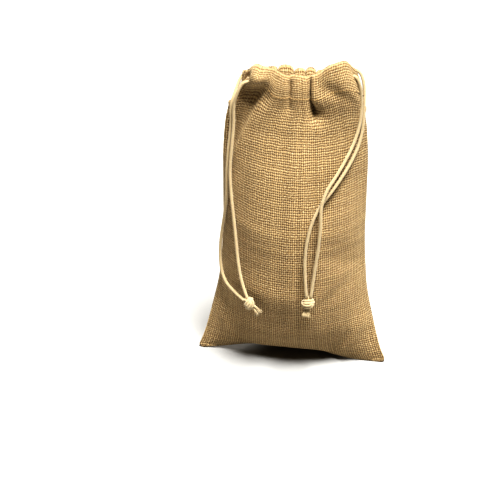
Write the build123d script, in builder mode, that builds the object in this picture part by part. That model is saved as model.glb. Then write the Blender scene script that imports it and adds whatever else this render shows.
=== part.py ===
from build123d import *
import os
from math import cos, pi, radians, sin, tan

# A drawstring gift bag for one bottle, in burlap: filled, standing, partly gathered.
# Millimetres. X is the width, the front faces -Y, +Z is up. The origin is on the ground,
# at the middle of the bag's width and depth; the side seams lie near Y = 0.

os.makedirs("parts", exist_ok=True)

# ---- Driving dimensions -------------------------------------------------------------
stand_height = 294.0      # ground to the gathered mouth; the cloth is 315 long laid flat
cloth = 1.2               # burlap thickness
cord_dia = 2.8            # cotton drawcord
casing_height = 27.0      # mouth edge to the hem stitching
mouth_width = 100.0       # gathered mouth; the bag is 178 wide laid flat
casing_length = 88.0      # the turned-in hem ends short of the panel's edges
mouth_gap = 6.0           # clear slot between the two casings
cord_clearance = 0.3      # between a cord and the cloth of its casing
seam_edge = 2.4           # how far a panel's edge face reaches in from its seam
allowance = 8.0           # seam allowance, turned inside
thread = 0.5              # sewing thread
stitch = 3.0              # length of one stitch
stitch_pitch = 4.2
pull_reach = 61.0         # cord in a casing that a pull can bring out
swing_heading = 60.0      # from sideways towards the front: where a lifted tail points
strand_pitch = 3.4        # middle to middle of a tail's two strands at its pivot
knot_width = 9.5
knot_length = 10.5
knot_rounding = 0.38      # edge radius of a knot's outer shape, as a share of its width
entry_pitch = 3.4         # middle to middle of the two strands where they enter a knot
entry_depth = 1.0
fray_length = 8.0
fray_pitch = 5.2          # middle to middle of the two brushes at their ends
fray_growth = 1.5         # how much wider than the cord a brush's end is

# Height, half width, depth to the front and depth to the back of the side seams.
sections = [
    (0.0, 88.0, 6.0, 28.0),
    (14.0, 82.5, 19.0, 37.0),
    (45.0, 74.5, 32.0, 41.5),
    (90.0, 66.0, 40.0, 41.0),
    (145.0, 63.0, 40.0, 40.5),
    (198.0, 63.0, 33.0, 35.0),
    (235.0, 60.0, 21.0, 22.0),
    (254.0, 54.0, 13.0, 13.0),
]

# ---- Sizes that follow --------------------------------------------------------------
tunnel = cord_dia + 2 * cord_clearance
casing_base = stand_height - casing_height
hem_face = mouth_gap / 2                      # |y| of a casing's face in the mouth
panel_inner = hem_face + cloth + tunnel       # |y| of a panel's inner face at the mouth
panel_outer = panel_inner + cloth
lane_y = hem_face + cloth + tunnel / 2        # |y| of the cords in a casing
left_lane = casing_base + 14.5                # height of the left drawcord in the casings
right_lane = left_lane + 6.5                  # the right drawcord runs above it
half_mouth = mouth_width / 2
half_casing = casing_length / 2
cord_radius = cord_dia / 2
FRONT = -1
BACK = 1
LEFT = -1
RIGHT = 1


def save(part, name):
    part.label = name
    export_step(part, f"parts/{name}.step")


# ---- Cloth panels -------------------------------------------------------------------
def panel_section(height, half_width, depth, towards):
    """One crescent: the cut through a panel at a height."""
    inner_half = half_width - seam_edge
    with BuildSketch(Plane.XY.offset(height)) as sketch:
        with BuildLine():
            ThreePointArc((-half_width, 0), (0, towards * depth), (half_width, 0))
            Line((half_width, 0), (inner_half, 0))
            ThreePointArc((inner_half, 0), (0, towards * (depth - cloth)), (-inner_half, 0))
            Line((-inner_half, 0), (-half_width, 0))
        make_face()
    return sketch.sketch


def mouth_section(height, towards):
    """The flat cut through a panel at the casing."""
    with BuildSketch(Plane.XY.offset(height)) as sketch:
        with BuildLine():
            Polyline(
                (-half_mouth, towards * panel_outer),
                (half_mouth, towards * panel_outer),
                (half_mouth, towards * panel_inner),
                (-half_mouth, towards * panel_inner),
                close=True,
            )
        make_face()
    return sketch.sketch


def panel_sections(towards):
    """The crescents of one panel, from the ground up to the slits beside the casing."""
    cuts = []
    for height, half_width, front_depth, back_depth in sections:
        depth = front_depth if towards == FRONT else back_depth
        cuts.append(panel_section(height, half_width, depth, towards))
    return cuts


with BuildPart() as front_panel:
    loft(panel_sections(FRONT))
    loft([panel_sections(FRONT)[-1], mouth_section(casing_base, FRONT)], ruled=True)
    extrude(mouth_section(casing_base, FRONT), amount=casing_height)
save(front_panel.part, "front_panel")

base_height, base_half_width, base_front, base_back = sections[0]

with BuildPart() as back_panel:
    loft(panel_sections(BACK))
    loft([panel_sections(BACK)[-1], mouth_section(casing_base, BACK)], ruled=True)
    extrude(mouth_section(casing_base, BACK), amount=casing_height)
    # The underside, from the bottom seam back to where the bag rests.
    with BuildSketch(Plane.XY.offset(base_height)):
        with BuildLine():
            plate_half = base_half_width - seam_edge
            ThreePointArc((-plate_half, 0), (0, base_back - cloth / 2), (plate_half, 0))
            ThreePointArc((plate_half, 0), (0, 1.5 * cloth - base_front), (-plate_half, 0))
        make_face()
    extrude(amount=cloth)
save(back_panel.part, "back_panel")


# ---- Casings: the hems turned in at the mouth, which hold the drawcords -------------
def make_casing(towards):
    """A channel open towards its panel: top fold, inner layer and stitched lower edge."""
    with BuildPart() as casing:
        with BuildSketch(Plane.YZ.offset(-half_casing)):
            with BuildLine():
                Polyline(
                    (towards * panel_inner, stand_height),
                    (towards * hem_face, stand_height),
                    (towards * hem_face, casing_base),
                    (towards * panel_inner, casing_base),
                    (towards * panel_inner, casing_base + cloth),
                    (towards * (hem_face + cloth), casing_base + cloth),
                    (towards * (hem_face + cloth), stand_height - cloth),
                    (towards * panel_inner, stand_height - cloth),
                    close=True,
                )
            make_face()
        extrude(amount=casing_length)
    return casing.part


save(make_casing(FRONT), "front_casing")
save(make_casing(BACK), "back_casing")


# ---- Sewing thread ------------------------------------------------------------------
def make_hem_thread(towards):
    """The hem's line of stitches, on the outside of the panel and in the mouth."""
    count = int(casing_length / stitch_pitch)
    outside = towards * (panel_outer + thread / 2)
    inside = towards * (hem_face - thread / 2)
    height = casing_base + cloth / 2
    with BuildPart() as line:
        for y in (outside, inside):
            with Locations((0, y, height)):
                with GridLocations(stitch_pitch, 1, count, 1):
                    Box(stitch, thread, thread)
    return line.part


save(make_hem_thread(FRONT), "front_hem_thread")
save(make_hem_thread(BACK), "back_hem_thread")


def half_width_at(height):
    """The bag's half width between two of its sections, taken as straight."""
    for lower, upper in zip(sections, sections[1:]):
        if height <= upper[0]:
            share = (height - lower[0]) / (upper[0] - lower[0])
            return lower[1] + share * (upper[1] - lower[1])
    return sections[-1][1]


# ---- Side seams: both panels' edges, sewn together and turned inside ----------------
def make_side_seam(side):
    strips = []
    for height, half_width, front_depth, back_depth in sections[1:]:
        middle = side * (half_width - seam_edge - allowance / 2)
        with BuildSketch(Plane.XY.offset(height)) as cut:
            with Locations((middle, 0)):
                Rectangle(allowance, 2 * cloth)
        strips.append(cut.sketch)
    with BuildPart() as seam:
        loft(strips)
    return seam.part


def make_side_thread(side):
    """Stitches on both faces of a side seam's allowance."""
    first = sections[1][0] + stitch_pitch
    count = int((sections[-1][0] - first) / stitch_pitch)
    spots = []
    for i in range(count):
        height = first + i * stitch_pitch
        x = side * (half_width_at(height) - seam_edge - allowance / 2)
        for towards in (FRONT, BACK):
            spots.append((x, towards * (cloth + thread / 2), height))
    with BuildPart() as line:
        with Locations(spots):
            Box(thread, thread, stitch)
    return line.part


def make_slit_tack(side):
    """The dense bar of thread that ends a side seam at the foot of its slit."""
    with BuildPart() as tack:
        with Locations((side * (sections[-1][1] - seam_edge / 2), 0, sections[-1][0] - 2 * cloth)):
            Box(seam_edge + 2 * thread, 2 * cloth, 2 * cloth)
    return tack.part


for side, word in ((LEFT, "left"), (RIGHT, "right")):
    save(make_side_seam(side), f"{word}_side_seam")
    save(make_side_thread(side), f"{word}_seam_thread")
    save(make_slit_tack(side), f"{word}_slit_tack")

# ---- Bottom seam --------------------------------------------------------------------
bottom_length = 140.0
bottom_stitches = 30

with BuildPart() as bottom_seam:
    with Locations((0, 0, cloth + allowance / 2)):
        Box(bottom_length, 2 * cloth, allowance)
save(bottom_seam.part, "bottom_seam")

with BuildPart() as bottom_thread:
    for towards in (FRONT, BACK):
        with Locations((0, towards * (cloth + thread / 2), cloth + allowance / 2)):
            with GridLocations(stitch_pitch, 1, bottom_stitches, 1):
                Box(stitch, thread, thread)
save(bottom_thread.part, "bottom_seam_thread")


# ---- Cords --------------------------------------------------------------------------
def corner_radii(route, share=0.45):
    """The largest arc that each corner's two runs allow."""
    radii = []
    for before, corner, after in zip(route, route[1:], route[2:]):
        into = Vector(*corner) - Vector(*before)
        out = Vector(*after) - Vector(*corner)
        turn = radians(into.get_angle(out))
        radii.append(share * min(into.length, out.length) / tan(turn / 2))
    return radii


def make_cord(route, name):
    """A round cord along straight runs joined by tangent arcs."""
    radii = corner_radii(route)
    with BuildPart() as tube:
        with BuildLine():
            path = FilletPolyline(*route, radius=radii)
        with BuildSketch(Plane(origin=path @ 0, z_dir=path % 0)):
            Circle(cord_radius)
        sweep()
    expected = pi * cord_radius**2 * path.length
    print(
        f"{name}: length {path.length:.1f}, tightest radius {min(radii):.1f}, "
        f"volume over section times length {tube.part.volume / expected:.4f}"
    )
    return tube.part


# Each drawcord goes round through both casings. Its loop passes outside the slit on the far
# side, and its two ends come out of the near side, so a pull there closes the mouth.
run_gap = 0.3             # where the cord inside is divided from the length that pulls out
loop_reach = 5.5          # how far a loop stands out of the casings' ends

left_run_start = pull_reach - half_casing + run_gap
left_run = [
    (left_run_start, -lane_y, left_lane),
    (half_casing + loop_reach, -lane_y, left_lane),
    (half_casing + loop_reach, lane_y, left_lane),
    (left_run_start, lane_y, left_lane),
]
right_run = [(-x, y, right_lane) for x, y, z in left_run]
save(make_cord(left_run, "left_drawcord_run"), "left_drawcord_run")
save(make_cord(right_run, "right_drawcord_run"), "right_drawcord_run")

# A tail's pivot is where its two strands come together below the slit. They lie side by
# side along the pivot's axis there, which is level and square to the lifted tail.
left_pivot = Vector(-53.4, -9.4, 255.0)
right_pivot = Vector(58.8, -2.5, 262.0)
heading = radians(swing_heading)
left_axis = Vector(-sin(heading), cos(heading), 0)
right_axis = Vector(-sin(heading), -cos(heading), 0)
pivot_gap = cord_radius + 0.8       # a tail starts this far below its pivot, and clears it


# A knot's Z leads to its frayed ends, and its two strands enter side by side along its X.
left_knot_plane = Plane(origin=(-33.5, -38.2, 76.5), x_dir=(0.68, 0, 0.73), z_dir=(0.73, -0.08, -0.68))
right_knot_plane = Plane(origin=(18.8, -43.8, 85.4), x_dir=(1, 0, -0.1), z_dir=(-0.10, 0.12, -1))


def knot_entry(plane, share):
    """Where a strand ends, just inside the top of its knot."""
    point = (
        plane.origin
        - plane.z_dir * (knot_length / 2 - entry_depth)
        + plane.x_dir * (share * entry_pitch / 2)
    )
    return (point.X, point.Y, point.Z)


def beside(pivot, axis, share, drop=0.0):
    """A point on the pivot's axis, half a strand's pitch along it, or straight below it."""
    point = pivot + axis * (share * strand_pitch / 2)
    return (point.X, point.Y, point.Z - drop)


pull_start = pull_reach - half_casing
left_front_pull = [
    (pull_start, -lane_y, left_lane),
    (-53.0, -lane_y, left_lane),
    (-54.8, -8.6, 269.0),
    beside(left_pivot, left_axis, -1),
]
left_back_pull = [
    (pull_start, lane_y, left_lane),
    (-50.5, lane_y, left_lane),
    (-57.8, -1.6, 271.0),
    beside(left_pivot, left_axis, 1),
]
right_front_pull = [
    (-pull_start, -lane_y, right_lane),
    (51.5, -lane_y, right_lane),
    (56.6, -5.4, 277.0),
    beside(right_pivot, right_axis, 1),
]
right_back_pull = [
    (-pull_start, lane_y, right_lane),
    (53.0, lane_y, right_lane),
    (60.0, 1.8, 278.0),
    beside(right_pivot, right_axis, -1),
]
left_front_tail = [
    beside(left_pivot, left_axis, -1, pivot_gap),
    (-51.6, -10.9, 236.0),
    (-53.2, -13.6, 216.0),
    (-54.6, -15.8, 194.0),
    (-52.4, -20.2, 170.0),
    (-48.6, -24.8, 142.0),
    (-45.6, -28.8, 113.0),
    (-41.0, -34.0, 92.0),
    knot_entry(left_knot_plane, 1),
]
left_back_tail = [
    beside(left_pivot, left_axis, 1, pivot_gap),
    (-54.4, -8.3, 236.0),
    (-56.4, -10.6, 214.0),
    (-57.8, -12.4, 192.0),
    (-57.6, -13.4, 170.0),
    (-61.2, -10.4, 146.0),
    (-65.0, -8.0, 124.0),
    (-65.6, -8.6, 104.0),
    (-62.0, -13.2, 87.0),
    (-52.6, -24.0, 80.2),
    knot_entry(left_knot_plane, -1),
]
right_front_tail = [
    beside(right_pivot, right_axis, 1, pivot_gap),
    (56.4, -5.4, 245.0),
    (52.4, -10.6, 230.0),
    (46.4, -17.8, 217.0),
    (38.6, -26.4, 203.0),
    (31.0, -33.6, 192.0),
    (27.0, -38.4, 178.0),
    (27.6, -39.8, 160.0),
    (26.4, -40.6, 140.0),
    (23.8, -42.0, 118.0),
    knot_entry(right_knot_plane, 1),
]
right_back_tail = [
    beside(right_pivot, right_axis, -1, pivot_gap),
    (59.8, -4.6, 241.0),
    (55.8, -9.6, 225.0),
    (49.2, -17.0, 211.0),
    (41.4, -24.4, 198.0),
    (33.6, -30.4, 187.0),
    (25.8, -34.4, 176.6),
    (19.6, -38.4, 162.0),
    (15.6, -41.2, 142.0),
    (14.4, -42.6, 118.0),
    knot_entry(right_knot_plane, -1),
]
pulls = {
    "left_front_pull": left_front_pull,
    "left_back_pull": left_back_pull,
    "right_front_pull": right_front_pull,
    "right_back_pull": right_back_pull,
}
tails = {
    "left_front_tail": left_front_tail,
    "left_back_tail": left_back_tail,
    "right_front_tail": right_front_tail,
    "right_back_tail": right_back_tail,
}
for name, route in {**pulls, **tails}.items():
    save(make_cord(route, name), name)


# ---- Knots and frayed ends ----------------------------------------------------------
def make_knot(plane):
    """The outer shape of an overhand knot in both strands; the plane's Z leads to the ends."""
    edge = knot_rounding * knot_width
    with BuildPart() as knot:
        with BuildSketch(plane.offset(-knot_length / 2)):
            Circle(knot_width / 2)
        extrude(amount=knot_length)
        fillet(knot.edges(), radius=edge)
    return knot.part


def make_frayed_ends(plane):
    """The two cut cord ends below a knot, each opening into a brush."""
    start = plane.offset(knot_length / 2)
    with BuildPart() as ends:
        for side in (LEFT, RIGHT):
            with BuildSketch(start):
                with Locations((side * entry_pitch / 2, 0)):
                    Circle(cord_radius)
            with BuildSketch(start.offset(fray_length)):
                with Locations((side * fray_pitch / 2, 0)):
                    Circle(fray_growth * cord_radius)
            loft()
    return ends.part


for word, plane in (("left", left_knot_plane), ("right", right_knot_plane)):
    save(make_knot(plane), f"{word}_knot")
    save(make_frayed_ends(plane), f"{word}_cord_ends")
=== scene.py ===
import math

import bpy
import numpy as np
from mathutils import Matrix, Vector


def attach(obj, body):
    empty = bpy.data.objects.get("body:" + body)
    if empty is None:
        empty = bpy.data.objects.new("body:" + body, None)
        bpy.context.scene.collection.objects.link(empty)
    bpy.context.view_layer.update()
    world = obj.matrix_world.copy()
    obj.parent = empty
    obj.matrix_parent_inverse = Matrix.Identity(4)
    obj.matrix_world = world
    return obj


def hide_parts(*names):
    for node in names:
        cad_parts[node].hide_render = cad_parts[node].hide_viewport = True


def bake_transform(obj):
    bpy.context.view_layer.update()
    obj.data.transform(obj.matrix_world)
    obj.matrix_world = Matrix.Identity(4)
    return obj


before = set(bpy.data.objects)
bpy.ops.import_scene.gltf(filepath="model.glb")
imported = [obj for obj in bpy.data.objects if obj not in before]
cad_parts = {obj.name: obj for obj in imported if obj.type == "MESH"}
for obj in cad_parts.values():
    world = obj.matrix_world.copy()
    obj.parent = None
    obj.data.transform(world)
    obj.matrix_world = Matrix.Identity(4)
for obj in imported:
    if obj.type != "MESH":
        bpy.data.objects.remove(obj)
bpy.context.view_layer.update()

MM = 0.001
FRONT = -1
BACK = 1

# ---- The bag laid flat, in millimetres ------------------------------------------------
FLAT_WIDTH = 178.0
FLAT_HEIGHT = 315.0
HEM = 27.0                # height of the turned-in hem, the casing
CLOTH = 1.0               # thickness of the burlap
HALF = FLAT_WIDTH / 2
HEM_LINE = FLAT_HEIGHT - HEM
SLIT_FOOT = 272.0         # the side seams end here
CORNER_RADIUS = 5.0       # of the two bottom corners
FOLD_FOOT = 303.0         # the mouth's rolled fold starts here
COLUMNS = 120             # of the grid that each panel is made on
ROWS = 150
HEM_ROWS = 14

# ---- The filled bag -------------------------------------------------------------------
# Every curve below is (distance up the flat cloth, value), except where it says so.
HALF_WIDTH = [
    (0, 88), (15, 82.5), (48, 74.5), (96, 66), (154, 63), (210, 63), (250, 61), (271, 58),
    (284, 54.5), (298, 51.5), (315, 50),
]
SIDE_HEIGHT = [
    (0, 0), (15, 14), (48, 45), (96, 90), (154, 145), (210, 198), (250, 235), (271, 253),
    (290, 269), (315, 292),
]
FRONT_DEPTH = [
    (0, 0.5), (8, 5.5), (22, 14.5), (55, 29), (102, 39), (158, 39), (212, 32), (252, 21.5),
    (274, 17), (290, 14), (315, 10.5),
]
FRONT_HEIGHT = [
    (0, 8), (8, 9.5), (22, 18), (55, 46), (102, 90), (158, 145), (212, 196), (252, 233),
    (274, 254), (290, 267), (315, 286),
]
BACK_DEPTH = [
    (0, 0.5), (12, 12), (26, 26.5), (36, 35), (60, 40.5), (104, 40.5), (158, 39.5), (210, 34),
    (250, 21.5), (272, 14), (290, 10.5), (315, 9.5),
]
BACK_HEIGHT = [
    (0, 6.0), (12, 2.2), (26, 1.2), (36, 8), (60, 33), (104, 78), (158, 132), (210, 184),
    (250, 221), (272, 241), (290, 256), (315, 280),
]
# Height of the mouth's edge across the cloth: (distance across, height).
FRONT_TOP = [
    (-89, 285), (-72, 291.5), (-54, 292), (-38, 288.5), (-20, 287), (0, 286.5), (24, 286),
    (36, 288), (54, 296), (70, 301.5), (89, 292),
]
BACK_TOP = [(-89, 281), (-60, 284), (-24, 287), (0, 285), (18, 286.5), (38, 285), (60, 287), (89, 287)]
# Height of the bottom seam: it arches up between the corners, which rest on the ground.
ARCH = [(-89, 0), (-72, 2.5), (-42, 8), (-6, 10.5), (20, 9), (42, 4), (58, 1), (72, 0), (89, 0)]


class Pleat:
    """A valley in the gathered cloth, running down from the mouth."""

    def __init__(self, at, hides, depth, width, foot, lean=0.0, casing=1.0, crest=400):
        self.at = at          # place across the cloth at the mouth
        self.hides = hides    # width of cloth that it takes up
        self.depth = depth    # below the hem line
        self.width = width
        self.foot = foot      # height on the cloth where it has died away
        self.lean = lean      # how far sideways it has moved at its foot
        self.casing = casing  # its depth in the casing, as a share of the depth below
        self.crest = crest    # height where it starts to fade upward


FRONT_PLEATS = [
    Pleat(-37, 3, 1.0, 6.0, 276, -6, 1.2),
    Pleat(-9, 3.5, 2.7, 3.8, 268, -1, 1.7, 303),
    Pleat(24, 14, 9.5, 4.4, 260, 2, 0.9),
]
# Swellings and hollows of the front: height, place on the cloth, size, and turn in radians.
FRONT_SWELLINGS = [
    (-5.0, (-62, 280), (20, 8), 0.0),     # the hollow below the casing's left end
    (3.4, (62, 292), (22, 36), 0.0),      # the round right ear
    (-4.6, (31, 276), (9, 7), -0.6),      # the hollow at the foot of the deep pleat
    (-2.8, (55, 290), (20, 6), -0.6),     # a crease across the ear
    (2.3, (62, 34), (28, 6), 0.95),       # folds from the bottom corners towards the belly,
    (-2.4, (50, 24), (28, 6), 0.85),      # each with a flat beside it
    (1.8, (-62, 32), (28, 6), -0.9),
    (-1.8, (-50, 22), (28, 6), -0.85),
    (-1.3, (44, 92), (34, 8), 0.5),       # soft dents in the right side
    (1.0, (60, 150), (28, 7), -0.3),
    (-1.0, (55, 128), (28, 7), -0.35),
]
# The ridge down from the mouth's left end: (distance up the cloth, place across it).
LEFT_RIDGE = [(205, -78), (225, -70), (238, -64), (259, -55), (281, -48), (306, -40)]
GAPE_FROM = -74.0         # left of this the casing's two layers stand apart
BACK_PLEATS = [
    Pleat(-64, 8, 3.5, 7.0, 250, -5), Pleat(-38, 12, 6.0, 5.5, 236, -4),
    Pleat(-11, 13, 6.5, 5.5, 244, -2), Pleat(9, 10, 5.5, 4.8, 252, 1),
    Pleat(28, 12, 6.0, 5.5, 234, 3), Pleat(50, 9, 4.0, 7.0, 250, 5),
    Pleat(72, 6, 2.5, 6.0, 262, 5),
]


def curve(points, x):
    """A smooth curve through a few points that never overshoots them."""
    xs = np.array([p[0] for p in points], float)
    ys = np.array([p[1] for p in points], float)
    gaps = np.diff(xs)
    slopes = np.diff(ys) / gaps
    tangents = np.zeros(len(xs))
    tangents[0], tangents[-1] = slopes[0], slopes[-1]
    for i in range(1, len(xs) - 1):
        if slopes[i - 1] * slopes[i] > 0:
            before = 2 * gaps[i] + gaps[i - 1]
            after = gaps[i] + 2 * gaps[i - 1]
            tangents[i] = (before + after) / (before / slopes[i - 1] + after / slopes[i])
    x = np.clip(x, xs[0], xs[-1])
    i = np.clip(np.searchsorted(xs, x, side="right") - 1, 0, len(gaps) - 1)
    t = (x - xs[i]) / gaps[i]
    rise = (3 - 2 * t) * t**2
    return (
        (1 - rise) * ys[i]
        + rise * ys[i + 1]
        + gaps[i] * t * (1 - t) * ((1 - t) * tangents[i] - t * tangents[i + 1])
    )


def ease(start, end, x):
    """Rises smoothly from 0 at start to 1 at end."""
    t = np.clip((x - start) / (end - start), 0, 1)
    return t * t * (3 - 2 * t)


def bump(s, v, at, size, turn=0.0):
    """A round or oval swelling of height 1 at a place on the cloth."""
    c, n = math.cos(turn), math.sin(turn)
    along = (s - at[0]) * c + (v - at[1]) * n
    across = (v - at[1]) * c - (s - at[0]) * n
    return np.exp(-((along / size[0]) ** 2) - (across / size[1]) ** 2)


def waves(s, v, seed, size, count=9):
    """Soft irregular waves, the same on every run."""
    draw = np.random.default_rng(seed)
    total = np.zeros(np.broadcast(s, v).shape)
    for _ in range(count):
        heading = draw.uniform(0, 2 * math.pi)
        length = size * draw.uniform(0.7, 1.8)
        phase = draw.uniform(0, 2 * math.pi)
        along = s * math.cos(heading) + v * math.sin(heading)
        total += np.sin(along * 2 * math.pi / length + phase)
    return total / math.sqrt(count)


# ---- One panel ------------------------------------------------------------------------
def gathered_place(s, v, pleats):
    """How far across the bag each point of the cloth lies, from -1 to 1.

    Cloth that the pleats take up leaves less of it to go round the bag.
    """
    density = np.ones((v.size, s.size))
    for pleat in pleats:
        grown = ease(pleat.foot, HEM_LINE, v)
        middle = pleat.at + pleat.lean * (1 - grown)
        width = pleat.width * (1 + 0.9 * (1 - grown))
        share = np.minimum(pleat.hides / (width * math.sqrt(math.pi)), 0.88)
        density -= grown * share * np.exp(-(((s - middle) / width) ** 2))
    density = np.maximum(density, 0.06)
    steps = 0.5 * (density[:, 1:] + density[:, :-1])
    walked = np.concatenate([np.zeros((v.size, 1)), np.cumsum(steps, 1)], 1)
    return 2 * walked / walked[:, -1:] - 1


def filled_section(place, v, gather, front):
    """The smooth filled bag: places sideways and outward, and the share of its full depth."""
    # An arc through both seams, which round off the bottom corners.
    low = CORNER_RADIUS - np.clip(v, 0, CORNER_RADIUS)
    half_width = curve(HALF_WIDTH, v) - CORNER_RADIUS + np.sqrt(CORNER_RADIUS**2 - low**2)
    depth = curve(FRONT_DEPTH if front else BACK_DEPTH, v)
    radius = (half_width**2 + depth**2) / (2 * depth)
    half_angle = np.arcsin(np.clip(half_width / radius, -1, 1))
    x = radius * np.sin(place * half_angle)
    out = radius * (np.cos(place * half_angle) - np.cos(half_angle))
    # In the gather it is flatter, with round ends.
    x = x + gather * (half_width * place - x)
    out = out + gather * (depth * (1 - np.abs(place) ** 3.2) ** 0.8 - out)
    return x, out, out / np.maximum(depth, 1e-6)


def section_height(s, v, fullness, front):
    """Heights: the sides and the middle, up to the mouth's edge and down to the bottom's arch."""
    side = curve(SIDE_HEIGHT, v)
    centre = curve(FRONT_HEIGHT if front else BACK_HEIGHT, v)
    z = side + (centre - side) * np.clip(fullness, 0, 1)
    top = curve(FRONT_TOP if front else BACK_TOP, s)
    z = z + (top - z[-1:]) * ease(225, FLAT_HEIGHT, v)
    arch_ends = 45 if front else 14
    return z + (curve(ARCH, s) - z[:1]) * (1 - ease(0, arch_ends, v))


def pleat_valley(s, v, pleat):
    """How far a pleat pushes the cloth in."""
    grown = ease(pleat.foot, HEM_LINE - 4, v)
    middle = pleat.at + pleat.lean * (1 - ease(pleat.foot, HEM_LINE, v))
    width = pleat.width * (1 + 0.7 * (1 - grown))
    deep = pleat.depth * grown * (1 + (pleat.casing - 1) * ease(HEM_LINE - 4, HEM_LINE + 8, v))
    deep = deep * (1 - 0.85 * ease(pleat.crest, pleat.crest + 12, v))
    return deep * np.exp(-((np.abs(s - middle) / width) ** 1.5))


def ridge_and_facet(s, v):
    """The ridge down from the mouth's left end, and the hollow facet left of it."""
    ridge = curve(LEFT_RIDGE, v)
    hollow = ease(205, 240, v) * (1 - ease(281, 291, v))
    past = np.maximum(ridge - s, 0)
    share = np.clip(past / (ridge + HALF + 2), 0, 1)
    facet = 7.0 * hollow * (1 - np.exp(-past / 5.0)) * (1 - share**2) ** 0.8
    return 0.8 * hollow * np.exp(-(((s - ridge - 4) / 14.0) ** 2)) - facet


def casing_round(v):
    """From 0 at the casing's stitches and fold to 1 midway between them."""
    t = np.clip((v - HEM_LINE) / HEM, 0, 1)
    return 4 * t * (1 - t)


def panel_grid(towards):
    """The panel's outer surface as a grid of points, with the flat place of each."""
    front = towards == FRONT
    pleats = FRONT_PLEATS if front else BACK_PLEATS
    s = np.linspace(-HALF, HALF, COLUMNS + 1)[None, :]
    v = np.linspace(0, FLAT_HEIGHT, ROWS + 1)[:, None]
    gather = ease(245, 290, v)
    mouth = ease(HEM_LINE, FLAT_HEIGHT, v)
    roundness = casing_round(v)

    place = gathered_place(s, v, pleats)
    x, out, fullness = filled_section(place, v, gather, front)
    z = section_height(s, v, fullness, front)
    out = out + 3.4 * ease(SLIT_FOOT, HEM_LINE + 6, v)
    left_pull = 3.5 * ease(SLIT_FOOT, 300, v) * ease(0.1, -1.0, place)
    x = x + left_pull
    if front:
        # The left end is drawn further in than the right one, and its casing rides up.
        x = x + left_pull
        x = x + 3.0 * ease(262, 284, v) * (1 - ease(296, FLAT_HEIGHT, v)) * ease(0.2, 1.0, place)
        rise = ease(268, HEM_LINE, v) * (1 - ease(HEM_LINE + 6, FLAT_HEIGHT, v))
        z = z + 5.0 * rise * ease(-34, -48, s)

    # How far the cloth stands out from the smooth bag, and the folds' effect on height.
    lift = np.zeros_like(x)
    dips = 0.18 if front else 0.5
    for pleat in pleats:
        valley = pleat_valley(s, v, pleat)
        lift -= valley
        z = z - dips * valley * mouth
    if front:
        lift += 5.4 * bump(s, v, (-66, 300), (20, 60)) * roundness**0.8
        lift += 0.9 * (1 - 0.9 * ease(24, 50, s)) * roundness**1.5
        lift += ridge_and_facet(s, v)
        for height, at, size, turn in FRONT_SWELLINGS:
            lift += height * bump(s, v, at, size, turn)
        # Small uneven ruffles in the gather.
        lift += 0.75 * waves(s, v * 0.45, 33, 24) * ease(258, 296, v)
        z = z + 0.8 * waves(s, v * 0.3, 31, 26) * mouth
    else:
        lift += 1.1 * roundness**1.2
    inside = ease(0, 12, v) * ease(0, 10, HALF - np.abs(s))
    lift += 0.55 * waves(s, v, 5 if front else 9, 70) * inside
    lift += 0.22 * waves(s, v, 15 if front else 19, 26) * inside

    # Displace along the surface's own normal in plan.
    slope_x = np.gradient(x, axis=1)
    slope_y = np.gradient(out, axis=1)
    length = np.hypot(slope_x, slope_y) + 1e-9
    x = x - slope_y / length * lift * inside * (1 - 0.5 * gather)
    out = out + slope_x / length * lift * ease(0, 12, v)
    out = np.maximum(out, 0.0)

    # The mouth's edge is rolled in, and the casing's left end gapes at the front.
    rolled = np.clip((v - FOLD_FOOT) / (FLAT_HEIGHT - FOLD_FOOT), 0, 1)
    out = out - 0.4 * np.maximum(out - 3.5, 0) * (1 - np.sqrt(1 - rolled**2))
    if front:
        x = x + 4.5 * ease(GAPE_FROM, -HALF, s) * roundness**0.6
    points = np.stack([x, towards * out, z], -1)
    flat = np.stack([np.broadcast_to(s, x.shape), np.broadcast_to(v, x.shape)], -1)
    return points, flat


def with_hem(points, flat, towards):
    """Adds the hem: over a round fold and down inside as far as its stitches."""
    rows, places = [], []
    level = flat[:, 0, 1]
    for i in range(1, HEM_ROWS + 1):
        t = i / HEM_ROWS
        height = FLAT_HEIGHT - HEM * t
        row = np.array([
            [np.interp(height, level, points[:, c, k]) for k in range(3)]
            for c in range(points.shape[1])
        ])
        depth = np.abs(row[:, 1])
        inner = 3.2 + 0.03 * depth
        gap = (depth - inner) * math.sqrt(1 - (1 - min(t / 0.32, 1)) ** 2)
        pinch = ease(0.62, 1.0, t)
        gap = gap * (1 - pinch) + (CLOTH + 0.4) * pinch
        row[:, 1] = towards * (depth - np.maximum(gap, CLOTH + 0.4))
        row[:, 2] -= 0.6 * np.sin(math.pi * np.clip(t / 0.3, 0, 1))
        gape = -5.5 if towards == FRONT else 4.0
        row[:, 0] += gape * ease(GAPE_FROM, -HALF, flat[0, :, 0]) * (4 * t * (1 - t)) ** 0.6
        rows.append(row)
        up = np.full(points.shape[1], FLAT_HEIGHT + HEM * t)
        places.append(np.stack([flat[0, :, 0], up], -1))
    return np.concatenate([points, np.stack(rows)]), np.concatenate([flat, np.stack(places)])


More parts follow.
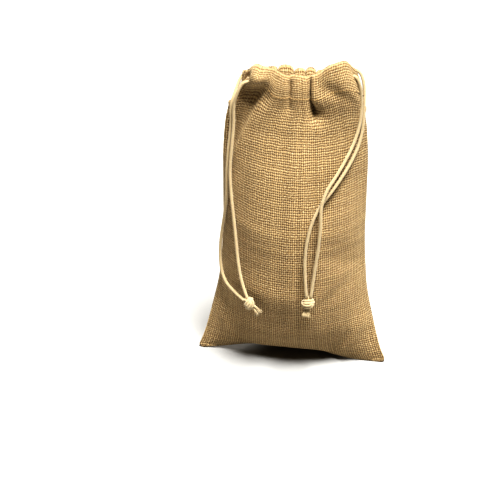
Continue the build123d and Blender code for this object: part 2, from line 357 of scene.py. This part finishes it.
# ---- Camera ---------------------------------------------------------------------------
def make_camera():
    """The photograph's viewing angle: a long lens, a little to the right and above."""
    azimuth, elevation, roll = math.radians(6.6), math.radians(29.0), math.radians(1.1)
    target = Vector((0, 0, 0.150))
    distance = 1.306
    away = Vector((
        math.sin(azimuth) * math.cos(elevation),
        -math.cos(azimuth) * math.cos(elevation),
        math.sin(elevation),
    ))
    data = bpy.data.cameras.new("camera")
    data.sensor_width = 36.0
    data.lens = 106.9
    data.shift_x = -0.0882
    data.shift_y = -0.0748
    data.clip_start = 0.05
    data.clip_end = 100.0
    camera = bpy.data.objects.new("camera", data)
    bpy.context.scene.collection.objects.link(camera)
    look = (-away).to_track_quat("-Z", "Y").to_matrix().to_4x4()
    look = look @ Matrix.Rotation(roll, 4, "Z")
    camera.matrix_world = Matrix.Translation(target + away * distance) @ look
    bpy.context.scene.camera = camera


# ---- Materials ------------------------------------------------------------------------
class Nodes:
    """Short calls for building a material's node tree."""

    def __init__(self, name, roughness=0.9):
        self.material = bpy.data.materials.new(name)
        self.material.use_nodes = True
        self.tree = self.material.node_tree
        self.shader = self.tree.nodes["Principled BSDF"]
        self.shader.inputs["Roughness"].default_value = roughness

    def put(self, socket, value):
        """Links another node's output to a socket, or sets its plain value."""
        if isinstance(value, bpy.types.NodeSocket):
            self.tree.links.new(value, socket)
        else:
            socket.default_value = value

    def node(self, kind, settings=None, **inputs):
        """Adds a node. An input's name has _ for each space."""
        made = self.tree.nodes.new(kind)
        for key, value in (settings or {}).items():
            setattr(made, key, value)
        for key, value in inputs.items():
            self.put(made.inputs[key.replace("_", " ")], value)
        return made

    def math(self, operation, a, b=0.0, c=0.0):
        made = self.tree.nodes.new("ShaderNodeMath")
        made.operation = operation
        for socket, value in zip(made.inputs, (a, b, c)):
            self.put(socket, value)
        return made.outputs[0]

    def pair(self, x, y):
        """Two numbers as the X and Y of a vector."""
        return self.node("ShaderNodeCombineXYZ", X=x, Y=y).outputs[0]

    def noise(self, vector, scale, detail=2.0, roughness=0.5):
        """Smooth noise, about 0.5 on average."""
        made = self.node("ShaderNodeTexNoise", Vector=vector, Scale=scale, Detail=detail)
        made.inputs["Roughness"].default_value = roughness
        return made.outputs["Fac"]

    def white(self, number):
        """A random value from 0 to 1 for each whole number."""
        made = self.node("ShaderNodeTexWhiteNoise", {"noise_dimensions": "1D"}, W=number)
        return made.outputs["Value"]

    def ramp(self, value, stops):
        """A colour for each value, smooth between the stops."""
        made = self.tree.nodes.new("ShaderNodeValToRGB")
        elements = made.color_ramp.elements
        while len(elements) < len(stops):
            elements.new(0.5)
        for element, (place, colour) in zip(elements, stops):
            element.position = place
            element.color = (*colour, 1)
        self.put(made.inputs["Fac"], value)
        return made.outputs["Color"]

    def mix(self, share, a, b, blend="MIX"):
        """A share of colour b blended over colour a."""
        made = self.tree.nodes.new("ShaderNodeMix")
        made.data_type = "RGBA"
        made.blend_type = blend
        self.put(made.inputs[0], share)
        self.put(made.inputs[6], a if isinstance(a, bpy.types.NodeSocket) else (*a, 1))
        self.put(made.inputs[7], b if isinstance(b, bpy.types.NodeSocket) else (*b, 1))
        return made.outputs[2]

    def bump(self, height, distance, strength=1.0):
        """Turns a height, in units of distance in metres, into the shader's relief."""
        made = self.node("ShaderNodeBump", Height=height, Distance=distance, Strength=strength)
        self.put(self.shader.inputs["Normal"], made.outputs["Normal"])

    def flat_place(self):
        """The flat cloth's two coordinates, in units of 10 mm."""
        place = self.node("ShaderNodeUVMap", {"uv_map": "flat"}).outputs["UV"]
        parts = self.node("ShaderNodeSeparateXYZ", Vector=place)
        return place, parts.outputs["X"], parts.outputs["Y"]


WARP_PITCH = 2.15         # mm between the upright threads
WEFT_PITCH = 2.35         # mm between the level threads
# Tones from dark to light: (value of the noise, colour).
JUTE_TONES = [
    (0.28, (0.245, 0.146, 0.056)), (0.47, (0.395, 0.282, 0.142)),
    (0.60, (0.51, 0.408, 0.256)), (0.76, (0.65, 0.575, 0.425)),
]
COTTON_TONES = [
    (0.12, (0.21, 0.150, 0.080)), (0.45, (0.36, 0.282, 0.168)), (0.85, (0.49, 0.405, 0.262)),
]
THREAD_TONES = [(0.3, (0.33, 0.22, 0.105)), (0.7, (0.48, 0.345, 0.18))]
FLOOR_TONES = [(0.3, (0.29, 0.29, 0.29)), (0.7, (0.31, 0.31, 0.31))]
# Painted shade: the dark of the shaded hollows between the threads and of the unlit inside seen
# through them.
GAP_PAINTED_SHADE = (0.20, 0.125, 0.07)    # takes the jute's colour down between the threads


def half_thread(n, random, slub, least, most):
    """Half the width of a thread that is thick in some places and thin in others."""
    width = n.math("MULTIPLY_ADD", random, 0.35, n.math("MULTIPLY", slub, 0.65))
    return n.math("MULTIPLY_ADD", width, most - least, least)


def round_thread(n, place_across, half):
    """Height of a round thread of this half width, 0 beside it."""
    away = n.math("ABSOLUTE", n.math("SUBTRACT", n.math("FRACT", place_across), 0.5))
    ratio = n.math("DIVIDE", away, half)
    left = n.math("SUBTRACT", 1.0, n.math("MULTIPLY", ratio, ratio))
    return n.math("SQRT", n.math("MAXIMUM", left, 0.0))


def waving(n, number, place_along):
    """Turns from 1 to -1 from one crossing to the next, the other way on the next thread."""
    return n.math("SINE", n.math("MULTIPLY", n.math("ADD", number, place_along), math.pi))


def jute_colour(n, tone, random, height):
    """The jute's colour: each thread has its own tone, and painted shade darkens it deep in the weave.
    """
    jute = n.ramp(tone, JUTE_TONES)
    shade = n.math("MULTIPLY_ADD", random, 0.22, 0.86)
    shaded = n.node("ShaderNodeCombineColor", Red=shade, Green=shade, Blue=shade).outputs[0]
    jute = n.mix(1.0, jute, shaded, "MULTIPLY")
    # Painted shade: the lower the weave at a point, the more of the gap's painted shade colour it
    # gets.
    deep = n.node("ShaderNodeMapRange", {"interpolation_type": "SMOOTHSTEP"}, Value=height)
    for key, value in (("From Min", 0.12), ("From Max", 0.88), ("To Min", 0.0), ("To Max", 1.0)):
        deep.inputs[key].default_value = value
    gap = n.mix(1.0, jute, GAP_PAINTED_SHADE, "MULTIPLY")
    return n.mix(deep.outputs[0], gap, jute)


def burlap_material():
    """Plain weave of uneven jute threads; painted shade makes the gaps between them dark."""
    n = Nodes("burlap", 0.92)
    place, across, up = n.flat_place()
    drift_u = n.math("SUBTRACT", n.noise(place, 0.9, 3.0), 0.5)
    moved = n.node("ShaderNodeCombineXYZ", X=up, Y=across, Z=4.7).outputs[0]
    drift_v = n.math("SUBTRACT", n.noise(moved, 1.1, 3.0), 0.5)
    u = n.math("MULTIPLY_ADD", across, 10 / WARP_PITCH, n.math("MULTIPLY", drift_u, 1.1))
    v = n.math("MULTIPLY_ADD", up, 10 / WEFT_PITCH, n.math("MULTIPLY", drift_v, 1.2))
    warp_number = n.math("FLOOR", u)
    weft_number = n.math("FLOOR", v)
    warp_random = n.white(warp_number)
    weft_random = n.white(n.math("ADD", weft_number, 500.5))

    # The threads' widths and heights, and which one is on top.
    along_warp = n.pair(n.math("MULTIPLY", warp_number, 7.3), n.math("MULTIPLY", v, 0.16))
    along_weft = n.pair(n.math("MULTIPLY", u, 0.13), n.math("MULTIPLY", weft_number, 5.7))
    warp_half = half_thread(n, warp_random, n.noise(along_warp, 1.0, 2.0), 0.26, 0.47)
    weft_half = half_thread(n, weft_random, n.noise(along_weft, 1.0, 2.0), 0.26, 0.49)
    warp_over = waving(n, warp_number, v)
    weft_over = n.math("MULTIPLY", waving(n, weft_number, u), -1.0)
    warp_level = n.math("MULTIPLY_ADD", warp_over, 0.42, 0.58)
    weft_level = n.math("MULTIPLY_ADD", weft_over, 0.42, 0.58)
    warp_height = n.math("MULTIPLY", round_thread(n, u, warp_half), warp_level)
    weft_height = n.math("MULTIPLY", round_thread(n, v, weft_half), weft_level)
    height = n.math("MAXIMUM", warp_height, weft_height)
    warp_on_top = n.math("GREATER_THAN", warp_height, weft_height)

    # Fibres run along each thread.
    fibre = n.node("ShaderNodeMix", {"data_type": "VECTOR"})
    n.put(fibre.inputs["Factor"], warp_on_top)
    n.put(fibre.inputs[4], n.pair(n.math("MULTIPLY", u, 1.1), n.math("MULTIPLY", v, 9.0)))
    n.put(fibre.inputs[5], n.pair(n.math("MULTIPLY", u, 9.0), n.math("MULTIPLY", v, 1.1)))
    fibres = n.noise(fibre.outputs[1], 1.0, 3.0, 0.7)
    blotches = n.math("MULTIPLY", n.noise(place, 5.0, 4.0, 0.6), 0.45)
    tone = n.math("MULTIPLY_ADD", fibres, 0.55, blotches)
    own_random = n.node("ShaderNodeMix", {"data_type": "FLOAT"})
    n.put(own_random.inputs[0], warp_on_top)
    n.put(own_random.inputs[2], weft_random)
    n.put(own_random.inputs[3], warp_random)
    colour = jute_colour(n, tone, own_random.outputs[0], height)
    n.put(n.shader.inputs["Base Color"], colour)
    n.shader.inputs["Sheen Weight"].default_value = 0.25
    n.shader.inputs["Sheen Roughness"].default_value = 0.6
    n.shader.inputs["Sheen Tint"].default_value = (0.9, 0.75, 0.5, 1)
    n.bump(n.math("MULTIPLY_ADD", fibres, 0.22, height), 0.0007, 0.85)
    return n.material


def cotton_material():
    """Smooth cotton cord of fine twisted yarns; its UV map runs round and along the cord."""
    n = Nodes("cotton cord", 0.85)
    _, around, along = n.flat_place()
    turns = n.math("MULTIPLY_ADD", along, 4.2, around)
    strand = n.math("ABSOLUTE", n.math("SINE", n.math("MULTIPLY", turns, 3 * math.pi)))
    soft = n.noise(n.node("ShaderNodeTexCoord").outputs["Object"], 900.0, 3.0, 0.6)
    # Painted shade: the colour is darker in the grooves between the twisted yarns, where the strand
    # pattern is low.
    tone = n.math("MULTIPLY_ADD", strand, 0.25, n.math("MULTIPLY", soft, 0.75))
    n.put(n.shader.inputs["Base Color"], n.ramp(tone, COTTON_TONES))
    n.shader.inputs["Sheen Weight"].default_value = 0.35
    n.shader.inputs["Sheen Roughness"].default_value = 0.5
    n.bump(n.math("MULTIPLY_ADD", soft, 0.5, strand), 0.0002, 0.4)
    return n.material


def thread_material():
    """Jute sewing thread."""
    n = Nodes("sewing thread", 0.75)
    soft = n.noise(n.node("ShaderNodeTexCoord").outputs["Object"], 2200.0, 2.0)
    n.put(n.shader.inputs["Base Color"], n.ramp(soft, THREAD_TONES))
    n.bump(soft, 0.0002, 0.5)
    return n.material


def floor_material():
    """Grey paper, a shade uneven."""
    n = Nodes("studio floor", 0.8)
    soft = n.noise(n.node("ShaderNodeTexCoord").outputs["Object"], 3.0, 2.0)
    n.put(n.shader.inputs["Base Color"], n.ramp(soft, FLOOR_TONES))
    return n.material


BURLAP = burlap_material()
COTTON = cotton_material()
THREAD = thread_material()


# ---- Mesh helpers ---------------------------------------------------------------------
def link_mesh(name, mesh, material):
    """Puts a mesh in the scene with its material."""
    mesh.materials.append(material)
    obj = bpy.data.objects.new(name, mesh)
    bpy.context.scene.collection.objects.link(obj)
    return obj


def cloth_object(name, points, flat, material):
    """A sheet of cloth with its flat pattern as its UV map, in units of 10 mm."""
    rows, columns = points.shape[:2]
    corner = (np.arange(rows - 1)[:, None] * columns + np.arange(columns - 1)[None, :]).ravel()
    faces = np.stack([corner, corner + 1, corner + columns + 1, corner + columns], 1)
    mesh = bpy.data.meshes.new(name)
    mesh.from_pydata((points.reshape(-1, 3) * MM).tolist(), [], faces.tolist())
    layer = mesh.uv_layers.new(name="flat")
    layer.data.foreach_set("uv", (flat.reshape(-1, 2)[faces.ravel()] / 10).ravel())
    mesh.polygons.foreach_set("use_smooth", [True] * len(mesh.polygons))
    return link_mesh(name, mesh, material)


def thicken(obj, thickness, offset):
    """Gives a sheet its thickness, as real geometry."""
    solid = obj.modifiers.new("thickness", "SOLIDIFY")
    solid.thickness = thickness
    solid.offset = offset
    graph = bpy.context.evaluated_depsgraph_get()
    mesh = bpy.data.meshes.new_from_object(obj.evaluated_get(graph))
    obj.modifiers.clear()
    obj.data = mesh


def tube_rings(points, radii, sides):
    """Rings of points round a path, turned as little as possible from one to the next."""
    rings = []
    normal = None
    last = len(points) - 1
    for i, point in enumerate(points):
        ahead = (points[min(i + 1, last)] - points[max(i - 1, 0)]).normalized()
        if normal is None:
            normal = ahead.orthogonal().normalized()
        normal = (normal - ahead * normal.dot(ahead)).normalized()
        side = ahead.cross(normal)
        ring = []
        for k in range(sides):
            angle = 2 * math.pi * k / sides
            ring.append(point + (normal * math.cos(angle) + side * math.sin(angle)) * radii[i])
        rings.append(ring)
    return rings


def tubes_mesh(name, paths, material, sides=14):
    """Closed round tubes in one mesh. A path is its points and its radius, or radii, in metres."""
    verts, faces, uvs = [], [], []
    for points, radius in paths:
        radii = radius if isinstance(radius, list) else [radius] * len(points)
        rings = tube_rings(points, radii, sides)
        base = len(verts)
        run = 0.0
        runs = []
        for i, ring in enumerate(rings):
            if i:
                run += (points[i] - points[i - 1]).length
            runs.append(run * 100)
            verts.extend(ring)
        for i in range(len(rings) - 1):
            for k in range(sides):
                after = (k + 1) % sides
                low, high = base + i * sides, base + (i + 1) * sides
                faces.append((low + k, low + after, high + after, high + k))
                left, right = k / sides, (k + 1) / sides
                uvs.extend([(left, runs[i]), (right, runs[i])])
                uvs.extend([(right, runs[i + 1]), (left, runs[i + 1])])
        for ring_start, order in ((base, -1), (base + (len(rings) - 1) * sides, 1)):
            cap = [ring_start + k for k in range(sides)][::order]
            faces.append(tuple(cap))
            uvs.extend([(0.5, 0.0)] * sides)
    mesh = bpy.data.meshes.new(name)
    mesh.from_pydata(verts, [], faces)
    layer = mesh.uv_layers.new(name="flat")
    layer.data.foreach_set("uv", np.array(uvs).ravel())
    mesh.polygons.foreach_set("use_smooth", [True] * len(mesh.polygons))
    return link_mesh(name, mesh, material)


def nurbs_points(route, resolution=12):
    """Points read from one smooth NURBS spline whose control points are the route's."""
    data = bpy.data.curves.new("route", "CURVE")
    data.dimensions = "3D"
    data.resolution_u = resolution
    spline = data.splines.new("NURBS")
    spline.points.add(len(route) - 1)
    for point, place in zip(spline.points, route):
        point.co = (*place, 1)
    spline.order_u = 3
    spline.use_endpoint_u = True
    holder = bpy.data.objects.new("route", data)
    bpy.context.scene.collection.objects.link(holder)
    mesh = bpy.data.meshes.new_from_object(holder)
    points = [vertex.co.copy() for vertex in mesh.vertices]
    bpy.data.objects.remove(holder)
    bpy.data.meshes.remove(mesh)
    bpy.data.curves.remove(data)
    return points


# ---- Cords ----------------------------------------------------------------------------
# The routes repeat the design's own, in metres, from a casing's end to a knot.
CORD_DIAMETER = 0.0028
CORD_RADIUS = CORD_DIAMETER / 2
LANE_Y = 0.0059           # how far the cords in the casings lie from the middle
LEVEL = {"left": 0.2745, "right": 0.2780}
LOOP_TURN = {"left": 0.0440, "right": 0.0360}
LOOP_REACH = {"left": 0.0500, "right": 0.0402}
RUN_START = 0.0172
RUN_MIDDLE = 0.030
ROUTES = {
    "left_front": [
        (-0.0370, -0.0082, 0.2765), (-0.0432, -0.0092, 0.2770), (-0.0472, -0.0106, 0.2705),
        (-0.0500, -0.0110, 0.2620), (-0.0519, -0.0103, 0.2550), (-0.0516, -0.0109, 0.2360),
        (-0.0532, -0.0136, 0.2160), (-0.0546, -0.0158, 0.1940), (-0.0524, -0.0202, 0.1700),
        (-0.0486, -0.0248, 0.1420), (-0.0456, -0.0288, 0.1130), (-0.0410, -0.0340, 0.0920),
        (-0.0354, -0.0379, 0.0806),
    ],
    "left_back": [
        (-0.0420, 0.0062, 0.2765), (-0.0466, 0.0064, 0.2772), (-0.0498, 0.0012, 0.2708),
        (-0.0522, -0.0058, 0.2622), (-0.0546, -0.0086, 0.2550), (-0.0544, -0.0083, 0.2360),
        (-0.0564, -0.0106, 0.2140), (-0.0578, -0.0124, 0.1920), (-0.0576, -0.0134, 0.1700),
        (-0.0605, -0.0104, 0.1460), (-0.0641, -0.0082, 0.1240), (-0.0650, -0.0088, 0.1040),
        (-0.0620, -0.0132, 0.0870), (-0.0526, -0.0240, 0.0802), (-0.0377, -0.0379, 0.0781),
    ],
    "right_front": [
        (0.0440, -0.0059, 0.2870), (0.0500, -0.0062, 0.2880), (0.0545, -0.0060, 0.2775),
        (0.0555, -0.0042, 0.2620), (0.0556, -0.0058, 0.2450), (0.0520, -0.0108, 0.2300),
        (0.0464, -0.0178, 0.2170), (0.0386, -0.0264, 0.2030), (0.0310, -0.0336, 0.1920),
        (0.0270, -0.0384, 0.1780), (0.0276, -0.0398, 0.1600), (0.0264, -0.0406, 0.1400),
        (0.0238, -0.0420, 0.1180), (0.0209, -0.0443, 0.0894),
    ],
    "right_back": [
        (0.0440, 0.0059, 0.2870), (0.0515, 0.0055, 0.2885), (0.0568, 0.0010, 0.2790),
        (0.0576, -0.0024, 0.2620), (0.0580, -0.0050, 0.2410), (0.0553, -0.0098, 0.2250),
        (0.0492, -0.0170, 0.2110), (0.0414, -0.0244, 0.1980), (0.0336, -0.0304, 0.1870),
        (0.0258, -0.0344, 0.1766), (0.0196, -0.0384, 0.1620), (0.0156, -0.0412, 0.1420),
        (0.0144, -0.0426, 0.1180), (0.0175, -0.0443, 0.0898),
    ],
}
# The knots: middle, the way across both strands, and the way to the frayed ends.
KNOTS = {
    "left": ((-0.0335, -0.0382, 0.0765), (0.68, 0.0, 0.73), (0.73, -0.08, -0.68)),
    "right": ((0.0188, -0.0438, 0.0854), (1.0, 0.0, -0.1), (-0.10, -0.22, -1.0)),
}
# One overhand knot, along its own across, front and down directions, in millimetres.
KNOT_TURNS = [
    (0.0, 0.0, -5.8), (1.2, 0.6, -3.8), (4.0, 2.2, -1.6), (3.2, 3.6, 1.6), (-1.8, 3.6, 2.8),
    (-4.8, 0.6, 2.0), (-3.6, -3.0, -0.4), (0.8, -3.6, -2.4), (4.6, -0.8, -2.6), (3.0, 3.2, -2.6),
    (-2.2, 3.6, -1.6), (-4.2, 1.0, -0.4), (-2.0, -1.0, 1.6), (-0.2, -0.2, 3.8), (0.0, 0.0, 5.8),
]
FRAY_LENGTH = 9.2
FIBRES = 42


def knot_axes(side):
    """A knot's middle and its across, front and down directions."""
    middle, across, down = (Vector(value) for value in KNOTS[side])
    down = down.normalized()
    across = (across - down * across.dot(down)).normalized()
    front = across.cross(down)
    if front.y > 0:
        front = -front
    return middle, across, front, down


def make_knot(side):
    """Both strands tied together in one overhand knot."""
    middle, across, front, down = knot_axes(side)
    route = [middle + (across * x + front * y + down * z) * MM for x, y, z in KNOT_TURNS]
    line = nurbs_points(route, 8)
    last = len(line) - 1
    paths = []
    for share in (-1, 1):
        strand = []
        for i, point in enumerate(line):
            ahead = (line[min(i + 1, last)] - line[max(i - 1, 0)]).normalized()
            outward = point - middle
            outward = outward - down * outward.dot(down) * 0.2
            beside = ahead.cross(outward)
            ends = abs(2 * i / last - 1) ** 6
            way = 1 if beside.dot(across) >= 0 else -1
            beside = beside.normalized() * (1 - ends) + across * (ends * way)
            strand.append(point + beside.normalized() * (share * 1.12 * MM))
        paths.append((strand, 1.22 * MM))
    return tubes_mesh(f"{side}_tied_knot", paths, COTTON, 12)


def make_frayed_ends(side):
    """Two short cut ends below the knot, each opened into a brush of yarn."""
    middle, across, front, down = knot_axes(side)
    draw = np.random.default_rng(11 if side == "left" else 23)
    paths = []
    for share in (-1, 1):
        root = middle + down * (4.4 * MM) + across * (share * 1.1 * MM)
        neck = root + down * (1.6 * MM) + across * (share * 0.2 * MM)
        core_end = neck + down * (2.0 * MM) + across * (share * 0.3 * MM)
        paths.append(([root, neck, core_end], [1.25 * MM, 1.15 * MM, 0.8 * MM]))
        for _ in range(FIBRES):
            turn = draw.uniform(0, 2 * math.pi)
            spread = math.sqrt(draw.uniform(0, 1))
            out = across * (math.cos(turn) * spread) + front * (math.sin(turn) * spread * 0.8)
            lean = across * (share * 0.9) + front * 2.8
            reach = FRAY_LENGTH * draw.uniform(0.72, 1.0)
            points = []
            radii = []
            for step in range(6):
                t = step / 5
                wobble = Vector(draw.normal(0, 0.14, 3)) * t
                away = out * (0.95 + 1.25 * t**1.4) + lean * (0.6 * t**1.6) + wobble
                points.append(neck + down * (reach * 0.8 * t * MM) + away * MM)
                radii.append((0.28 - 0.08 * t) * MM)
            paths.append((points, radii))
    return tubes_mesh(f"{side}_frayed_ends", paths, COTTON, 4)


def make_strand(side, which):
    """One free strand, from the end of its casing down to the knot."""
    path = nurbs_points(ROUTES[f"{side}_{which}"])
    strand = tubes_mesh(f"{side}_{which}_strand", [(path, CORD_RADIUS)], COTTON)
    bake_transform(strand)
    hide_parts(f"{side}_{which}_pull", f"{side}_{which}_tail")
    return strand, path


def make_stub(side, which, path):
    """The length of a strand inside its casing, which a pull brings out."""
    way = -1 if side == "left" else 1
    start = path[0]
    route = [
        start - (path[1] - start).normalized() * 0.0002,
        (start.x - way * 0.012, start.y, start.z - 0.002),
    ]
    for inward in (0.026, 0.044, 0.060):
        route.append((start.x - way * inward, start.y, LEVEL[side]))
    stub = tubes_mesh(f"{side}_{which}_inner_strand", [(nurbs_points(route), CORD_RADIUS)], COTTON)
    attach(stub, f"{side}_draw")
    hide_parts(f"{side}_{which}_pull")


def make_run(side):
    """The part of a drawcord that stays in the casings, with its loop at the far slit."""
    way = 1 if side == "left" else -1
    along = (RUN_START, RUN_MIDDLE, LOOP_TURN[side], LOOP_REACH[side])
    out = [(way * x, -LANE_Y, LEVEL[side]) for x in along]
    back = [(x, -y, z) for x, y, z in reversed(out)]
    route = out + [(way * LOOP_REACH[side], 0.0, LEVEL[side])] + back
    run = tubes_mesh(f"{side}_cord_in_casing", [(nurbs_points(route), CORD_RADIUS)], COTTON)
    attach(run, "bag")
    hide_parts(f"{side}_drawcord_run")


def make_tail(side):
    """Both strands of one pull, their knot and their frayed ends."""
    knot = make_knot(side)
    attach(knot, f"{side}_tail")
    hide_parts(f"{side}_knot")
    ends = make_frayed_ends(side)
    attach(ends, f"{side}_tail")
    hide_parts(f"{side}_cord_ends")
    for which in ("front", "back"):
        strand, path = make_strand(side, which)
        make_stub(side, which, path)
    make_run(side)


# ---- Stitches and seams ---------------------------------------------------------------
STITCH = 3.0              # length of one stitch, in millimetres
STITCH_PITCH = 4.2
THREAD_RADIUS = 0.27
ALLOWANCE = 8.0           # width of the cloth inside a seam
INNER_ROW_START = -36.0   # the hem's inner row keeps clear of the cord at the left slit
HEM_EDGE = 1.5            # from a hem's edge to its stitches
ROW_MARGIN = 3.0          # from a side seam to a hem's first stitch
BOTTOM_REACH = 58.0       # the bottom's allowance ends here, short of the corners
SEWN_FROM = 24.0          # and the sides' allowances start here


def surface_normals(points):
    """Unit normals of a grid, pointing to the side that faces away from the bag's middle."""
    across = np.gradient(points, axis=1)
    upward = np.gradient(points, axis=0)
    normal = np.cross(across, upward)
    normal /= np.linalg.norm(normal, axis=-1, keepdims=True) + 1e-9
    return normal


def row_at(points, flat, height):
    """The grid's points and normals along one level of the flat cloth."""
    normals = surface_normals(points)
    levels = flat[:, 0, 1]
    upper = int(np.searchsorted(levels, height))
    share = (height - levels[upper - 1]) / (levels[upper] - levels[upper - 1])
    place = points[upper - 1] * (1 - share) + points[upper] * share
    return place, normals[upper - 1] * (1 - share) + normals[upper] * share


def along_row(at, run, row):
    """The row's value at a distance along it."""
    return np.array([np.interp(at, run, row[:, axis]) for axis in range(3)])


def distances(edge):
    """How far along an edge each of its points lies."""
    return np.concatenate([[0], np.cumsum(np.linalg.norm(np.diff(edge, axis=0), axis=1))])


def stitch_path(start, end, normal):
    """One stitch: it comes out of the cloth, lies on it and goes back in."""
    start, end, normal = (Vector(value) for value in (start, end, normal))
    top = normal * (0.8 * THREAD_RADIUS)
    sunk = normal * (-1.2 * THREAD_RADIUS)
    points = [start + sunk, start.lerp(end, 0.12) + top, start.lerp(end, 0.5) + top * 1.2]
    points += [start.lerp(end, 0.88) + top, end + sunk]
    return [point * MM for point in points], THREAD_RADIUS * MM


def hem_stitches(points, flat, towards, outside):
    """The line of stitches along a hem, on the outside or on the turned-in layer."""
    height = HEM_LINE + HEM_EDGE if outside else FLAT_HEIGHT + HEM - HEM_EDGE
    place, normals = row_at(points, flat, height)
    across = flat[0, :, 0]
    paths = []
    for k in range(int(2 * (HALF - ROW_MARGIN) / STITCH_PITCH)):
        begin = -HALF + ROW_MARGIN + k * STITCH_PITCH
        ends = [along_row(at, across, place) for at in (begin, begin + STITCH)]
        if not outside and ends[0][0] < INNER_ROW_START:
            continue
        normal = along_row(begin + STITCH / 2, across, normals)
        if normal[1] * towards * (1 if outside else -1) < 0:
            normal = -normal
        paths.append(stitch_path(*ends, normal / np.linalg.norm(normal)))
    return paths


def seam_strip(name, edge, inward, node):
    """The two layers of seam allowance inside a seam."""
    reach = np.linspace(0.2, ALLOWANCE, 5)
    for side in (-1, 1):
        grid = edge[:, None, :] + inward[:, None, :] * reach[None, :, None]
        spread = 0.62 + 0.9 * (reach / ALLOWANCE) ** 2
        wave = 0.25 * np.sin(np.arange(len(edge)) * 0.55 + side)
        grid[:, :, 1] += side * (spread[None, :] + wave[:, None] * (reach / ALLOWANCE)[None, :])
        flat = np.stack(np.broadcast_arrays(reach[None, :], distances(edge)[:, None]), -1)
        strip = cloth_object(f"{name}_{'front' if side < 0 else 'back'}_layer", grid, flat, BURLAP)
        thicken(strip, 0.8 * MM, 0.0)
        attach(strip, "bag")
        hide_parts(node)


def seam_stitches(name, edge, inward, node):
    """Stitches on both faces of a seam's allowance."""
    run = distances(edge)
    middle = edge + inward * (ALLOWANCE / 2)
    paths = []
    for k in range(int((run[-1] - 4) / STITCH_PITCH)):
        begin = 2 + k * STITCH_PITCH
        for side in (-1, 1):
            ends = []
            for at in (begin, begin + STITCH):
                point = along_row(at, run, middle)
                point[1] += side * 1.45
                ends.append(point)
            paths.append(stitch_path(*ends, (0, side, 0)))
    stitches = tubes_mesh(name, paths, THREAD, 6)
    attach(stitches, "bag")
    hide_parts(node)


def slit_tack(side, foot):
    """The bar of close stitches that ends a side seam at the foot of its slit."""
    way = -1 if side == "left" else 1
    paths = []
    for k in range(9):
        level = foot[2] - 2.0 + 0.5 * k
        out = foot[0] + way * 0.35
        route = [
            (foot[0] - way * 2.6, -1.5), (out - way * 0.4, -1.25), (out, 0.0),
            (out - way * 0.4, 1.25), (foot[0] - way * 2.6, 1.5),
        ]
        paths.append(([Vector((x, y, level)) * MM for x, y in route], THREAD_RADIUS * MM))
    tack = tubes_mesh(f"{side}_bar_tack", paths, THREAD, 6)
    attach(tack, "bag")
    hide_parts(f"{side}_slit_tack")


def make_cloth(word, towards):
    """One panel with its hem and the hem's stitches. Returns its grid."""
    points, flat = panel_grid(towards)
    points, flat = with_hem(points, flat, towards)
    cloth = cloth_object(f"{word}_cloth", points, flat, BURLAP)
    thicken(cloth, CLOTH * MM, 1.0 if towards == BACK else -1.0)
    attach(cloth, "bag")
    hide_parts(f"{word}_panel", f"{word}_casing")
    paths = hem_stitches(points, flat, towards, True) + hem_stitches(points, flat, towards, False)
    stitches = tubes_mesh(f"{word}_hem_stitches", paths, THREAD, 6)
    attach(stitches, "bag")
    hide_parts(f"{word}_hem_thread")
    return points, flat


def make_seams(points, flat):
    """The side seams, their bar tacks and the bottom seam, along the front panel's edges."""
    level = flat[:, 0, 1]
    sewn = (level > SEWN_FROM) & (level < SLIT_FOOT)
    for side, column, way in (("left", 0, 1.0), ("right", -1, -1.0)):
        edge = points[sewn, column].copy()
        edge[:, 1] = 0
        edge[:, 0] += way * 1.2
        inward = np.tile([way, 0.0, 0.0], (len(edge), 1))
        seam_strip(f"{side}_seam_allowance", edge, inward, f"{side}_side_seam")
        seam_stitches(f"{side}_seam_stitches", edge, inward, f"{side}_seam_thread")
        foot = points[np.searchsorted(level, SLIT_FOOT), column]
        slit_tack(side, foot)
    middle = np.abs(points[0, :, 0]) < BOTTOM_REACH
    edge = points[0, middle].copy()
    edge[:, 1] = 0
    edge[:, 2] += 1.4
    inward = np.tile([0.0, 0.0, 1.0], (len(edge), 1))
    seam_strip("bottom_seam_allowance", edge, inward, "bottom_seam")
    seam_stitches("bottom_seam_stitches", edge, inward, "bottom_seam_thread")


# ---- Stage ----------------------------------------------------------------------------
def make_stage():
    """A paper floor that the key light takes to white, and a weak warm room light."""
    mesh = bpy.data.meshes.new("floor")
    half = 30.0
    corners = [(-half, -half, 0), (half, -half, 0), (half, half, 0), (-half, half, 0)]
    mesh.from_pydata(corners, [], [(0, 1, 2, 3)])
    link_mesh("floor", mesh, floor_material())
    world = bpy.data.worlds.new("studio")
    world.use_nodes = True
    background = world.node_tree.nodes["Background"]
    background.inputs["Color"].default_value = (1.0, 0.86, 0.66, 1)
    background.inputs["Strength"].default_value = 0.12
    bpy.context.scene.world = world
    view = bpy.context.scene.view_settings
    view.view_transform = "Standard"
    view.look = "Very High Contrast"
    view.exposure = -0.58


def light_object():
    """A strong studio lamp high on the right, a weak one on the left and one behind the bag."""
    for name, kind, place, size, power, colour in (
        ("key", "SUN", (0.30, -0.44, 1.68), 0.40, 11.0, (1.0, 0.995, 0.97)),
        ("fill", "AREA", (-1.2, -1.2, 0.8), 1.2, 0.8, (1.0, 0.86, 0.66)),
        ("back", "AREA", (-0.7, 1.5, 0.8), 1.0, 34.0, (1.0, 0.96, 0.90)),
    ):
        data = bpy.data.lights.new(name, kind)
        data.energy = power
        data.color = colour
        if kind == "SUN":
            data.angle = size
        else:
            data.size = size
        light = bpy.data.objects.new(name, data)
        bpy.context.scene.collection.objects.link(light)
        light.location = place
        aim = Vector((0, 0, 0.15)) - Vector(place)
        light.rotation_euler = aim.to_track_quat("-Z", "Y").to_euler()


make_camera()
for word in ("left", "right"):
    make_tail(word)
front_grid = make_cloth("front", FRONT)
make_cloth("back", BACK)
make_seams(*front_grid)
make_stage()
light_object()
